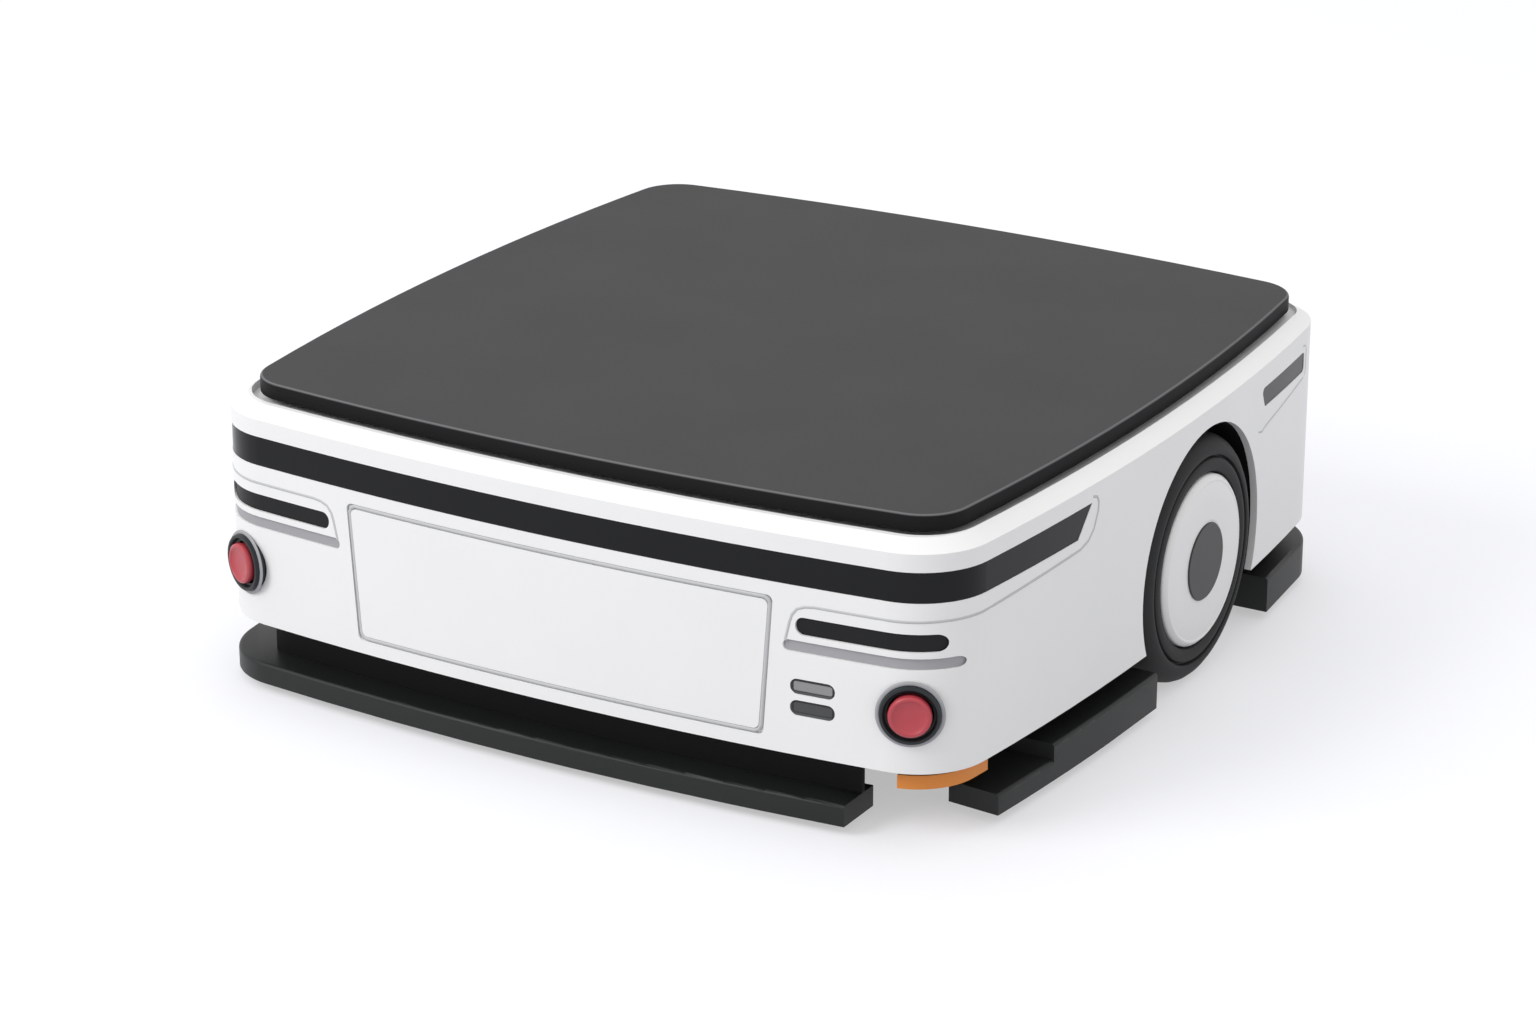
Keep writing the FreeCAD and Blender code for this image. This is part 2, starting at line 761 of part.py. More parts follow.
def make_stops(cover):
    holes = []
    collars = []
    buttons = []
    for name, side in SIDES:
        x, y, nx, ny = stop_place(side)
        direction = (nx, ny, 0)
        inner = 10
        back = (x - nx * inner, y - ny * inner, d.stop_height)
        holes.append(cylinder("stop_hole_" + name, d.stop_collar_radius + d.seat_gap,
                              as_size(inner + 20), back, direction))
        place = (x, y, d.stop_height)
        lip = d.stop_collar_reach
        collars.append(revolved("stop_collar_" + name, [
            (0, -inner), (d.stop_collar_radius, -inner),
            (d.stop_collar_radius, lip - 2), (d.stop_collar_radius - 2, lip),
            (d.stop_button_radius + 1, lip), (d.stop_button_radius + 1, 0), (0, 0)],
            place, direction))
        reach = d.stop_reach
        head = d.stop_button_radius
        buttons.append(revolved("stop_button_" + name, [
            (0, 0), (head, 0), (head, reach - 3), (head - 3, reach), (0, reach)],
            place, direction))
    keep(group("stop_collars", collars))
    keep(group("stop_buttons", buttons))
    return cut("cover", cover, fuse("stop_holes", holes))


def make_chassis():
    plate = plan_solid("chassis_blank", d.cover_wall + d.seat_gap, d.cover_bottom, chassis_top)
    tools = []
    for name, x_side, y_side in CORNERS:
        y = d.front_caster_y if y_side < 0 else d.rear_caster_y
        tools.append(cylinder("caster_hole_" + name, d.caster_hole_radius, 100,
                              (d.caster_place_x * x_side, y, 0)))
    for name, side in SIDES:
        inner = (d.well_inner_face + d.well_wall) * side
        outer = FAR * side
        low, high = (inner, outer) if side > 0 else (outer, inner)
        reach = d.arch_radius - 6
        tools.append(box("wheel_slot_" + name, (low, d.wheel_place_y - reach, 0),
                         (high, d.wheel_place_y + reach, 200)))
    for name, side in (("front", 1), ("rear", -1)):
        tools.append(cylinder("scanner_hole_" + name, d.scanner_cut_radius, 100,
                              (d.scanner_place_x * side, -d.scanner_place_y * side, 0)))
    keep(cut("chassis_plate", plate, fuse("chassis_openings", tools)))


def make_wells():
    inside = plan_solid("well_space", d.cover_wall + d.seat_gap, chassis_top, d.cover_top)
    for name, side in SIDES:
        place = (d.well_inner_face * side, d.wheel_place_y, d.wheel_radius)
        hollow = ((d.well_inner_face + d.well_wall) * side, d.wheel_place_y, d.wheel_radius)
        direction = (side, 0, 0)
        outer = cylinder("well_outer_" + name, d.arch_radius + d.well_wall, 100, place, direction)
        inner = cylinder("well_inner_" + name, d.arch_radius, 120, hollow, direction)
        hole = cylinder("well_axle_hole_" + name, d.axle_hole_radius, 20, place, direction)
        cup = common("well_cup_" + name, outer, inside)
        keep(cut("wheel_well_" + name, cup, fuse("well_tools_" + name, [inner, hole])))


def make_gearmotors():
    for name, side in SIDES:
        face = d.well_inner_face
        direction = (-side, 0, 0)
        start = (face * side, d.wheel_place_y, d.wheel_radius)
        back = ((face - d.gearbox_length) * side, d.wheel_place_y, d.wheel_radius)
        gearbox = cylinder("gearbox_" + name, d.gearbox_radius, d.gearbox_length, start, direction)
        motor = cylinder("motor_" + name, d.motor_radius, d.motor_length, back, direction)
        length = d.wheel_outer_face - d.hubcap_thickness - 3 - face
        axle = cylinder("axle_" + name, d.axle_radius, length, start, (side, 0, 0))
        x1 = face * side
        x2 = (face - d.gearbox_length) * side
        low, high = (x2, x1) if side > 0 else (x1, x2)
        half = d.motor_foot_width * 0.5
        foot = box("motor_foot_" + name, (low, d.wheel_place_y - half, chassis_top),
                   (high, d.wheel_place_y + half, d.wheel_radius))
        keep(fuse("gearmotor_" + name, [gearbox, motor, axle, foot]))


def make_wheels():
    radius = d.wheel_radius
    width = d.tyre_width
    shoulder = d.tyre_shoulder
    rim = d.rim_radius
    groove = d.tyre_groove_radius
    half = d.tyre_groove_width * 0.5
    bore = d.axle_radius + d.axle_running_gap
    cap = d.hubcap_thickness
    dome = d.hubcap_dome
    for name, side in SIDES:
        place = (d.wheel_outer_face * side, d.wheel_place_y, d.wheel_radius)
        direction = (side, 0, 0)
        keep(revolved("drive_tyre_" + name, [
            (rim, -width), (radius - shoulder, -width), (radius, shoulder - width),
            (radius, -shoulder), (radius - shoulder, ZERO), (groove + half, ZERO),
            (groove, -half), (groove - half, ZERO), (rim, ZERO)], place, direction))
        keep(revolved("drive_rim_" + name, [
            (bore, 6 - width), (bore * 2.6, 6 - width), (bore * 2.6, 16 - width),
            (rim - 8, 16 - width), (rim - 8, -width), (rim, -width), (rim, -cap),
            (bore, -cap)], place, direction))
        keep(revolved("hubcap_" + name, [
            (ZERO, -cap), (rim, -cap), (rim, -dome * 0.5), (rim - 4, dome * 0.5),
            (d.badge_radius + 4, dome), (ZERO, dome)], place, direction))
        keep(revolved("hub_badge_" + name, [
            (ZERO, dome), (d.badge_radius, dome), (d.badge_radius - 1, dome + 1),
            (ZERO, dome + 1)], place, direction))


def make_deck():
    pan = plan_solid("deck_pan_blank", d.cover_wall + d.seat_gap,
                     ledge_underside - d.deck_pan_thickness, ledge_underside)
    holes = []
    guides = []
    posts = []
    collar_top = deck_underside - d.seat_gap
    guide_radius = d.post_radius + d.post_running_gap + d.guide_wall
    bore = d.post_radius + d.post_running_gap
    for name, x_side, y_side in CORNERS:
        x = d.post_place_x * x_side
        y = d.post_place_y * y_side
        holes.append(cylinder("guide_hole_" + name, guide_radius, 400, (x, y, 0)))
        guides.append(revolved("lift_guide_" + name, [
            (bore, d.guide_bottom), (guide_radius, d.guide_bottom),
            (guide_radius, ledge_underside), (d.guide_collar_radius, ledge_underside),
            (d.guide_collar_radius, collar_top), (bore, collar_top)],
            (x, y, ZERO), (0, 0, 1)))
        posts.append(revolved("lift_post_" + name, [
            (ZERO, d.post_bottom), (d.post_radius, d.post_bottom),
            (d.post_radius, deck_underside), (d.post_head_radius, deck_underside),
            (d.post_head_radius, d.deck_top - d.deck_skin), (ZERO, d.deck_top - d.deck_skin)],
            (x, y, ZERO), (0, 0, 1)))
    keep(cut("deck_pan", pan, fuse("guide_holes", holes)))
    keep(group("lift_guides", guides))
    keep(group("lift_posts", posts))
    plate = new_body("lift_deck")
    sketch = new_sketch(plate, "XY_Plane", "lift_deck_outline", deck_underside)
    draw_outline(sketch, deck_inset, d.deck_shift)
    block = pad(plate, sketch, "lift_deck_block", d.deck_edge_height)
    names = edge_names(block.Shape, level_edges(d.deck_top.value))
    fillet(plate, block, names, "lift_deck_edge", d.deck_edge_round)
    under = new_sketch(plate, "XY_Plane", "lift_deck_underside", deck_underside)
    draw_outline(under, deck_inset + d.deck_lip_width, d.deck_shift)
    pocket(plate, under, "lift_deck_hollow", d.deck_edge_height - d.deck_skin, backwards=True)
    keep(plate)


def make_casters():
    plates = []
    brackets = []
    pin_top = chassis_top + d.bracket_height
    plate_bottom = pin_top - d.caster_plate_thickness
    wheel = d.caster_wheel_radius
    half_wheel = d.caster_wheel_width * 0.5
    inner = half_wheel + d.fork_side_gap
    outer = inner + d.fork_wall
    fork_top = plate_bottom - 3
    span = d.bracket_half_span
    thick = d.bracket_thickness
    flange = d.bracket_flange
    hat = [(-span - thick - flange, chassis_top), (-span, chassis_top), (-span, pin_top),
           (span, pin_top), (span, chassis_top), (span + thick + flange, chassis_top),
           (span + thick + flange, chassis_top + thick), (span + thick, chassis_top + thick),
           (span + thick, pin_top + thick), (-span - thick, pin_top + thick),
           (-span - thick, chassis_top + thick), (-span - thick - flange, chassis_top + thick)]
    for name, x_side, y_side in CORNERS:
        x = d.caster_place_x * x_side
        y = d.front_caster_y if y_side < 0 else d.rear_caster_y
        bracket = prism("caster_bracket_" + name, "YZ_Plane", hat, both_ways=True,
                        length=d.bracket_half_width * 2)
        bind(bracket, "Placement.Base.x", x)
        bind(bracket, "Placement.Base.y", y)
        brackets.append(bracket)
        half = d.caster_plate_half
        mount = box("caster_mount_" + name, (x - half, y - half, plate_bottom),
                    (x + half, y + half, pin_top))
        pin = cylinder("caster_pin_" + name, d.caster_pin_radius, plate_bottom - fork_top + 5,
                       (x, y, fork_top - 5))
        plates.append(fuse("caster_plate_" + name, [mount, pin]))
        # trailing towards the rear, as after driving forwards
        axle_y = y + d.caster_trail
        crown = cylinder("fork_crown_" + name, outer, d.fork_wall, (x, y, fork_top - d.fork_wall))
        bore = cylinder("fork_bore_" + name, d.caster_pin_radius + 0.05, 40, (x, y, fork_top - 20))
        legs = []
        for part, side in SIDES:
            low_x = x + inner if side > 0 else x - outer
            high_x = x + outer if side > 0 else x - inner
            legs.append(prism("fork_leg_%s_%s" % (name, part), "YZ_Plane", [
                (y - 14, fork_top), (y - 14, fork_top - 12), (axle_y - 9, wheel - 9),
                (axle_y + 9, wheel - 9), (axle_y + 9, wheel + 9), (y + 20, fork_top)],
                length=d.fork_wall))
            bind(legs[-1], "Placement.Base.x", low_x)
        axle = cylinder("caster_axle_" + name, d.caster_axle_radius, outer * 2,
                        (x - outer, axle_y, wheel), (1, 0, 0))
        keep(cut("caster_fork_" + name, fuse("fork_solid_" + name, [crown, axle] + legs), bore))
        axle_bore = d.caster_axle_radius + d.axle_running_gap
        keep(revolved("caster_wheel_" + name, [
            (axle_bore, -half_wheel), (wheel - 12, -half_wheel), (wheel - 12, 3 - half_wheel),
            (wheel - 4, 3 - half_wheel), (wheel, 7 - half_wheel), (wheel, half_wheel - 7),
            (wheel - 4, half_wheel - 3), (wheel - 12, half_wheel - 3),
            (wheel - 12, half_wheel), (axle_bore, half_wheel)],
            (x, axle_y, wheel), (1, 0, 0)))
    keep(group("caster_brackets", brackets))
    keep(group("caster_plates", plates))


def make_scanners():
    bottom = d.scanner_base_bottom
    top = d.scanner_base_top
    disc = plan_solid("scanner_base_disc", d.scanner_base_inset, bottom, top)
    corner = [(d.scanner_base_front, -FAR), (FAR, -FAR), (FAR, -d.scanner_base_side),
              (d.scanner_place_x, -d.scanner_base_side)]
    bases = []
    heads = []
    brackets = []
    for name, side in (("front", 1), ("rear", -1)):
        x = d.scanner_place_x * side
        y = -d.scanner_place_y * side
        shape = corner if side > 0 else half_turn(corner)
        bases.append(common("scanner_base_" + name, disc, area("scanner_area_" + name, shape)))
        head = d.scanner_head_radius
        peak = d.scanner_head_top
        heads.append(revolved("scanner_head_" + name, [
            (ZERO, top), (head, top), (head - 3, top + 8), (head, top + 14),
            (head, peak), (ZERO, peak)], (x, y, ZERO), (0, 0, 1)))
        reach = d.scanner_cut_radius + 8
        low_x = x - reach if side > 0 else x - head * 0.6
        high_x = x + head * 0.6 if side > 0 else x + reach
        half = 26
        lid = box("scanner_lid_" + name, (low_x, y - half, peak), (high_x, y + half, peak + 4))
        leg_low = low_x if side > 0 else high_x - 4
        leg = box("scanner_leg_" + name, (leg_low, y - half, chassis_top),
                  (leg_low + 4, y + half, peak))
        brackets.append(fuse("scanner_bracket_" + name, [lid, leg]))
    keep(group("scanner_bases", bases))
    keep(group("scanner_heads", heads))
    keep(group("scanner_brackets", brackets))


def make_battery():
    half_x = d.battery_width * 0.5
    half_y = d.battery_length * 0.5
    y = d.battery_place_y
    keep(box("battery_block", (-half_x, y - half_y, chassis_top),
             (half_x, y + half_y, chassis_top + d.battery_height)))


def check(features):
    """Stops if anything failed or a sub-part has no sound shape."""
    for item in doc.Objects:
        if "Invalid" in item.State or "Error" in item.State:
            raise ValueError("%s failed: %s" % (item.Name, item.State))
    for feature in features:
        shape = feature.Shape
        if shape.isNull() or not shape.isValid() or not shape.Solids:
            raise ValueError("%s has no sound shape" % feature.Label)


cover_trim = trim_prisms("_cut", d.panel_groove)
inlay_trim = trim_prisms("_inlay", ZERO)
cover = make_stops(make_cover(cover_trim))
cover.Label = "body_cover"
keep(cover)
make_trim(inlay_trim)
make_chassis()
make_wells()
make_gearmotors()
make_battery()
make_deck()
make_bumpers()
make_skirts()
make_scanners()
make_wheels()
make_casters()
doc.recompute()
check(SUB_PARTS)
for feature in SUB_PARTS:
    feature.Shape.exportStep("parts/%s.step" % feature.Label)
    print("%-24s %2d %10.1f" % (feature.Label, len(feature.Shape.Solids), feature.Shape.Volume))
print(len(SUB_PARTS), "sub-parts")
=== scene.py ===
# %% [markdown]
# # A low mobile robot with a lifting deck
#
# The machine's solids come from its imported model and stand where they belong.
# This lesson dresses them: camera, light, finishes, and the small shapes that
# a plain solid leaves out. All lengths are in metres, +Z is up, and the front
# with the service panel looks towards -Y.

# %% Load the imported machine
import bpy
import json
import math
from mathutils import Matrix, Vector


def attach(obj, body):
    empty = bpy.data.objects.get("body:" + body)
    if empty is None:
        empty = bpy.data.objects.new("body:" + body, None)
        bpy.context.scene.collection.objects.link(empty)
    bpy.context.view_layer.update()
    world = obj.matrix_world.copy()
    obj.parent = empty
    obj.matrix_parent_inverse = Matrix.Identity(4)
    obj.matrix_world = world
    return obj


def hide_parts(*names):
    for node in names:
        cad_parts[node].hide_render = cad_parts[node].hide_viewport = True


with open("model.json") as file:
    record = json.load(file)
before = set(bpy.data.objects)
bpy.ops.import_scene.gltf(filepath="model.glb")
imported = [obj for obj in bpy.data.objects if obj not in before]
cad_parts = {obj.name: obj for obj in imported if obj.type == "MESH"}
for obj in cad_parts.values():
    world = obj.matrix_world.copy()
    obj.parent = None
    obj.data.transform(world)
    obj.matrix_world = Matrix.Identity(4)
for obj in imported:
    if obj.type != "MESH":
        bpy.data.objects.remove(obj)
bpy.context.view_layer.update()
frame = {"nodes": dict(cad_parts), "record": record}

scene = bpy.context.scene

# %% [markdown]
# ## Camera
#
# The picture is taken from the front right corner, a little above the machine,
# with a long lens, so that its edges hardly run together. The place and the
# aim were found once from the machine's own corners, and the camera is kept
# level, without shift and without blur.

# %% Camera
CAMERA_PLACE = Vector((1.6806, -2.8995, 1.3731))
CAMERA_AIM = Vector((-0.0276, 0.0199, 0.0843))
camera_data = bpy.data.cameras.new("camera")
camera_data.sensor_width = 36
camera_data.lens = 102.64
camera = bpy.data.objects.new("camera", camera_data)
scene.collection.objects.link(camera)
camera.location = CAMERA_PLACE
camera.rotation_euler = (CAMERA_AIM - CAMERA_PLACE).to_track_quat("-Z", "Y").to_euler()
scene.camera = camera
print("camera distance:", round((CAMERA_AIM - CAMERA_PLACE).length, 3))

# %% [markdown]
# ## Building a material
#
# Every finish is a small graph of nodes. One helper adds a node, sets what it
# is told to, and joins its inputs to other nodes. Colours are written as the
# hex codes that a paint card would show and are turned to linear light once.

# %% Helpers for colour and nodes
def linear(code, alpha=1.0):
    """The linear colour of a hex code such as 'f2f2f0'."""
    shares = [int(code[i:i + 2], 16) / 255 for i in (0, 2, 4)]
    return tuple(s / 12.92 if s <= 0.04045 else ((s + 0.055) / 1.055) ** 2.4
                 for s in shares) + (alpha,)


def add_node(material, kind, inputs=None, **settings):
    """Adds one node, with its settings, its fixed values and its links."""
    made = material.node_tree.nodes.new(kind)
    for name, value in settings.items():
        setattr(made, name, value)
    for socket, value in (inputs or {}).items():
        if isinstance(value, bpy.types.NodeSocket):
            material.node_tree.links.new(value, made.inputs[socket])
        else:
            made.inputs[socket].default_value = value
    return made


def new_material(name, **shader_values):
    """A material with one Principled shader; words_like_this become socket names."""
    material = bpy.data.materials.new(name)
    material.use_nodes = True
    material.node_tree.nodes.clear()
    shader = add_node(material, "ShaderNodeBsdfPrincipled")
    for word, value in shader_values.items():
        shader.inputs[word.replace("_", " ").title().replace("Ior", "IOR")].default_value = value
    output = add_node(material, "ShaderNodeOutputMaterial", {"Surface": shader.outputs[0]})
    place = add_node(material, "ShaderNodeTexCoord").outputs["Object"]
    return material, shader, place


print("white linear:", [round(v, 3) for v in linear("f0f0ee")[:3]])

# %% [markdown]
# ## Grain and mottle
#
# Moulded plastic, rubber and powder coat share two traits at different
# scales: a fine grain that breaks up highlights, and a slow drift of colour and
# gloss. A helper adds them to any shader, with the sizes given in millimetres
# so that they can be checked against the real thing.

# %% A shared surface helper
# a mix of colours keeps its sockets after those for numbers and vectors
MIX_A, MIX_B, MIX_RESULT = 6, 7, 2


def millimetres(size):
    """The scale that makes a noise cell about this wide on Object coordinates."""
    return 1000.0 / size


def surface(material, shader, place, base, drift, grain_mm, grain_height, rough,
            drift_mm=90):
    """Slow colour drift, a fine grain in the normal and uneven gloss."""
    slow = add_node(material, "ShaderNodeTexNoise", {
        "Vector": place, "Scale": millimetres(drift_mm), "Detail": 3.0})
    colour = add_node(material, "ShaderNodeMix", {
        "Factor": slow.outputs["Fac"], MIX_A: linear(base), MIX_B: linear(drift)},
        data_type="RGBA")
    material.node_tree.links.new(colour.outputs[MIX_RESULT], shader.inputs["Base Color"])
    fine = add_node(material, "ShaderNodeTexNoise", {
        "Vector": place, "Scale": millimetres(grain_mm), "Detail": 2.0})
    gloss = add_node(material, "ShaderNodeMapRange", {
        "Value": fine.outputs["Fac"], "To Min": rough[0], "To Max": rough[1]})
    material.node_tree.links.new(gloss.outputs["Result"], shader.inputs["Roughness"])
    bump = add_node(material, "ShaderNodeBump", {
        "Height": fine.outputs["Fac"], "Distance": grain_height / 1000.0, "Strength": 1.0})
    material.node_tree.links.new(bump.outputs["Normal"], shader.inputs["Normal"])
    return colour.outputs[MIX_RESULT]


def dress(slot, material):
    """Gives a finish to every solid of one material slot."""
    rows = [row["node"] for row in frame["record"]["subparts"] if row["material_slot"] == slot]
    for node in rows:
        solid = frame["nodes"][node]
        for place in solid.material_slots:
            place.material = material
    print(slot, "->", material.name, "on", len(rows), "solids")


# %% [markdown]
# ## Cover: moulded white ABS
#
# The cover is vacuum-formed ABS with a satin gloss. Its skin has a very slight
# orange peel, about two millimetres from crest to crest, which softens the
# reflections of the lamps without being seen as a pattern.

# %% White cover
white_abs, shader, place = new_material("moulded_white_abs", ior=1.5, coat_weight=0.12,
                                        coat_roughness=0.25)
surface(white_abs, shader, place, "efefee", "eaeaea", 2.0, 0.004, (0.34, 0.42))
dress("cover_white", white_abs)
dress("hub_white", white_abs)

# %% [markdown]
# ## Bands, windows and sensor slots
#
# The band is a strip of polished black polycarbonate, smooth enough to mirror
# the room softly. The sensor slots sit deeper behind a smoked, duller window,
# so they look flatter and a little darker. Both are kept low in reflection,
# because the white room would otherwise turn them grey.

# %% Dark bands
band_gloss, shader, place = new_material("polished_black_polycarbonate", ior=1.585,
                                         specular_ior_level=0.14)
surface(band_gloss, shader, place, "111213", "151617", 30.0, 0.004, (0.16, 0.22))
dress("band_black", band_gloss)
dress("scanner_black", band_gloss)

slot_black, shader, place = new_material("smoked_sensor_window", ior=1.5,
                                         specular_ior_level=0.2)
surface(slot_black, shader, place, "141516", "1a1b1c", 3.0, 0.01, (0.4, 0.5))
dress("slot_black", slot_black)

# %% [markdown]
# ## Ledges in painted shade, grey port cups
#
# The ledges under the slots and the cups of the ports are matt ABS with a fine
# spark-eroded grain of under a millimetre, which takes away any highlight. The
# ledges' grey is painted shade: it stands for the white slope under each slot
# lying in shade.

# %% Grey strips and port inserts
# painted shade: this grey stands for white plastic in shade, on the ledges and the stop bezels
grey_painted_shade, shader, place = new_material("matt_abs_in_painted_shade", ior=1.5)
surface(grey_painted_shade, shader, place, "a3a3a6", "9b9b9f", 0.8, 0.03, (0.5, 0.6))
dress("ledge_grey", grey_painted_shade)
port_grey, shader, place = new_material("matt_mid_grey_abs", ior=1.5)
surface(port_grey, shader, place, "7c7c7e", "737376", 0.8, 0.03, (0.5, 0.6))
dress("port_grey", port_grey)

# %% [markdown]
# ## Bumpers and skirts
#
# The bars are cast polyurethane: black, slightly satin, with a fine grain that
# spreads the highlight along their rounded edges. The skirts behind them are
# duller polypropylene and stay the darkest part of the machine.

# %% Bumpers and skirts
bumper_tpu, shader, place = new_material("satin_black_polyurethane", ior=1.5,
                                         specular_ior_level=0.3)
surface(bumper_tpu, shader, place, "212423", "1c1e1d", 0.9, 0.03, (0.4, 0.5))
dress("bumper_rubber", bumper_tpu)
skirt_black, shader, place = new_material("matt_black_polypropylene", ior=1.49,
                                          specular_ior_level=0.15)
surface(skirt_black, shader, place, "131414", "0f1010", 1.0, 0.03, (0.55, 0.65))
dress("skirt_black", skirt_black)

# %% [markdown]
# ## Deck: textured black coating
#
# The plate is steel with a sprayed black coat. The coat's grain hides nearly
# all reflection. A painted highlight makes it paler along the rounded edge and
# painted shade makes it blackest on the side; the direction that the surface
# faces tells these places apart.

# %% Deck
deck_coat, shader, place = new_material("fine_textured_black_coating", ior=1.5,
                                        specular_ior_level=0.1)
deck_mottle = surface(deck_coat, shader, place, "414142", "3a3a3b", 1.4, 0.06, (0.5, 0.6))
faces_up = add_node(deck_coat, "ShaderNodeSeparateXYZ", {
    "Vector": add_node(deck_coat, "ShaderNodeNewGeometry").outputs["Normal"]})
# painted light by facing: painted shade on the side, a painted highlight along the rounded edge,
# the mottle on top
painted_edge_highlight_side_shade = add_node(deck_coat, "ShaderNodeValToRGB", {"Fac": faces_up.outputs["Z"]})
painted_side_shade_stop, painted_edge_highlight_stop = painted_edge_highlight_side_shade.color_ramp.elements
painted_side_shade_stop.position, painted_side_shade_stop.color = 0.40, linear("1a1a1b")
painted_edge_highlight_stop.position, painted_edge_highlight_stop.color = 0.75, linear("6c6c6d")
is_top = add_node(deck_coat, "ShaderNodeMapRange", {
    "Value": faces_up.outputs["Z"], "From Min": 0.95, "From Max": 0.995})
whole = add_node(deck_coat, "ShaderNodeMix", {
    0: is_top.outputs["Result"], MIX_A: painted_edge_highlight_side_shade.outputs["Color"], MIX_B: deck_mottle},
    data_type="RGBA")
deck_coat.node_tree.links.new(whole.outputs[MIX_RESULT], shader.inputs["Base Color"])
dress("deck_black", deck_coat)

# %% [markdown]
# ## Metals
#
# Chassis and motors are powder coated in near black. The deck pan and the rims
# are bare rolled aluminium, the lift posts are ground steel, and forks and
# caster plates are zinc plated. Each is a metal of its own tone, and the spread
# of its roughness says how it was made: narrow when ground, wide when plated.

# %% Metals
chassis_coat, shader, place = new_material("black_powder_coat", ior=1.5,
                                           specular_ior_level=0.2)
surface(chassis_coat, shader, place, "1f2022", "1a1b1d", 1.2, 0.05, (0.5, 0.62))
for slot in ("chassis_steel", "motor_dark"):
    dress(slot, chassis_coat)
sheet_aluminium, shader, place = new_material("mill_aluminium", metallic=1.0)
surface(sheet_aluminium, shader, place, "b8babd", "adb0b3", 1.0, 0.01, (0.32, 0.42))
for slot in ("deck_pan_aluminium", "rim_aluminium"):
    dress(slot, sheet_aluminium)
ground_steel, shader, place = new_material("ground_steel", metallic=1.0)
surface(ground_steel, shader, place, "b6b6b8", "a8a9ac", 0.7, 0.01, (0.25, 0.35))
dress("lift_steel", ground_steel)
zinc, shader, place = new_material("zinc_plated_steel", metallic=1.0)
surface(zinc, shader, place, "b9bcc0", "a9adb2", 1.5, 0.01, (0.3, 0.45))
dress("caster_zinc", zinc)

# %% [markdown]
# ## Battery, stops, scanners, tyres and badges
#
# The battery case is plain moulded plastic. The stop heads are glossy red
# polyamide in satin dark collars, and the scanner bases satin orange ABS. Solid
# rubber is the roughest finish here, and the blank badge disc is a dark satin.

# %% Battery, stops, scanners and tyres
battery_case, shader, place = new_material("moulded_battery_case", ior=1.5,
                                           specular_ior_level=0.3)
surface(battery_case, shader, place, "3a3b3e", "333437", 1.0, 0.04, (0.5, 0.6))
dress("battery_case", battery_case)
stop_red, shader, place = new_material("gloss_red_polyamide", ior=1.53)
surface(stop_red, shader, place, "b8404a", "b03a44", 1.5, 0.006, (0.28, 0.36))
dress("stop_red", stop_red)
stop_dark, shader, place = new_material("satin_dark_polyamide", ior=1.53,
                                        specular_ior_level=0.3)
surface(stop_dark, shader, place, "23282b", "1e2224", 1.0, 0.02, (0.38, 0.46))
dress("stop_dark", stop_dark)
orange, shader, place = new_material("satin_orange_abs", ior=1.5)
surface(orange, shader, place, "e08a35", "d98230", 1.0, 0.02, (0.38, 0.46))
dress("scanner_orange", orange)
tyre, shader, place = new_material("solid_black_rubber", ior=1.52,
                                   specular_ior_level=0.3)
surface(tyre, shader, place, "232424", "1e1f1f", 1.2, 0.04, (0.6, 0.72))
dress("tyre_rubber", tyre)
dress("caster_tread", tyre)
badge, shader, place = new_material("satin_dark_badge", ior=1.5,
                                    specular_ior_level=0.3)
surface(badge, shader, place, "343534", "303130", 1.0, 0.01, (0.3, 0.4))
dress("badge_dark", badge)

# %% [markdown]
# ## Turned pieces: one way of making
#
# Tyres, hubcaps and the emergency stops are all round. A lathe or a round mould
# makes them from one profile, and so does this helper: it adds a ring of
# points, then extrudes the ring from station to station, each time scaled to
# the next radius. Turning the profile with the spin tool would do as well, but
# the ring keeps its seam closed from the start.

# %% A helper for turned pieces
def only(piece):
    """Makes one object the only selected and the active one."""
    bpy.ops.object.select_all(action="DESELECT")
    piece.select_set(True)
    bpy.context.view_layer.objects.active = piece


def turned(name, stations, segments, closed=False):
    """A round piece on the Z axis; stations are (radius, height) in millimetres."""
    radius, height = stations[0]
    bpy.ops.object.select_all(action="DESELECT")
    bpy.ops.mesh.primitive_circle_add(vertices=segments, radius=radius / 1000,
                                      location=(0, 0, 0))
    piece = bpy.context.object
    piece.name = name
    bpy.ops.object.mode_set(mode="EDIT")
    bpy.ops.mesh.select_all(action="SELECT")
    if not closed:
        bpy.ops.mesh.edge_face_add()
    bpy.ops.transform.translate(value=(0, 0, height / 1000))
    for next_radius, next_height in stations[1:]:
        share = next_radius / radius
        bpy.ops.mesh.extrude_region_move(
            TRANSFORM_OT_translate={"value": (0, 0, (next_height - height) / 1000)})
        bpy.ops.transform.resize(value=(share, share, 1),
                                 center_override=(0, 0, next_height / 1000))
        radius, height = next_radius, next_height
    bpy.ops.mesh.select_all(action="SELECT")
    bpy.ops.mesh.remove_doubles(threshold=1e-6)
    bpy.ops.mesh.normals_make_consistent(inside=False)
    bpy.ops.object.mode_set(mode="OBJECT")
    bpy.ops.object.shade_smooth_by_angle(angle=math.radians(34))
    return piece


def set_down(piece, spot, facing):
    """Turns a piece from +Z to where it faces, puts it down and applies both."""
    only(piece)
    piece.rotation_euler = Vector(facing).to_track_quat("Z", "Y").to_euler()
    piece.location = spot
    bpy.ops.object.transform_apply(location=True, rotation=True, scale=True)


def hand_over(piece, body, slot, material, *stands_for):
    """Hangs a new piece on its body, gives it its finish and hides the solids it stands for; the
    slot is not used.
    """
    piece.data.materials.clear()
    piece.data.materials.append(material)
    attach(piece, body)
    if stands_for:
        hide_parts(*stands_for)
    print(piece.name, len(piece.data.polygons), "faces, rides on", body)


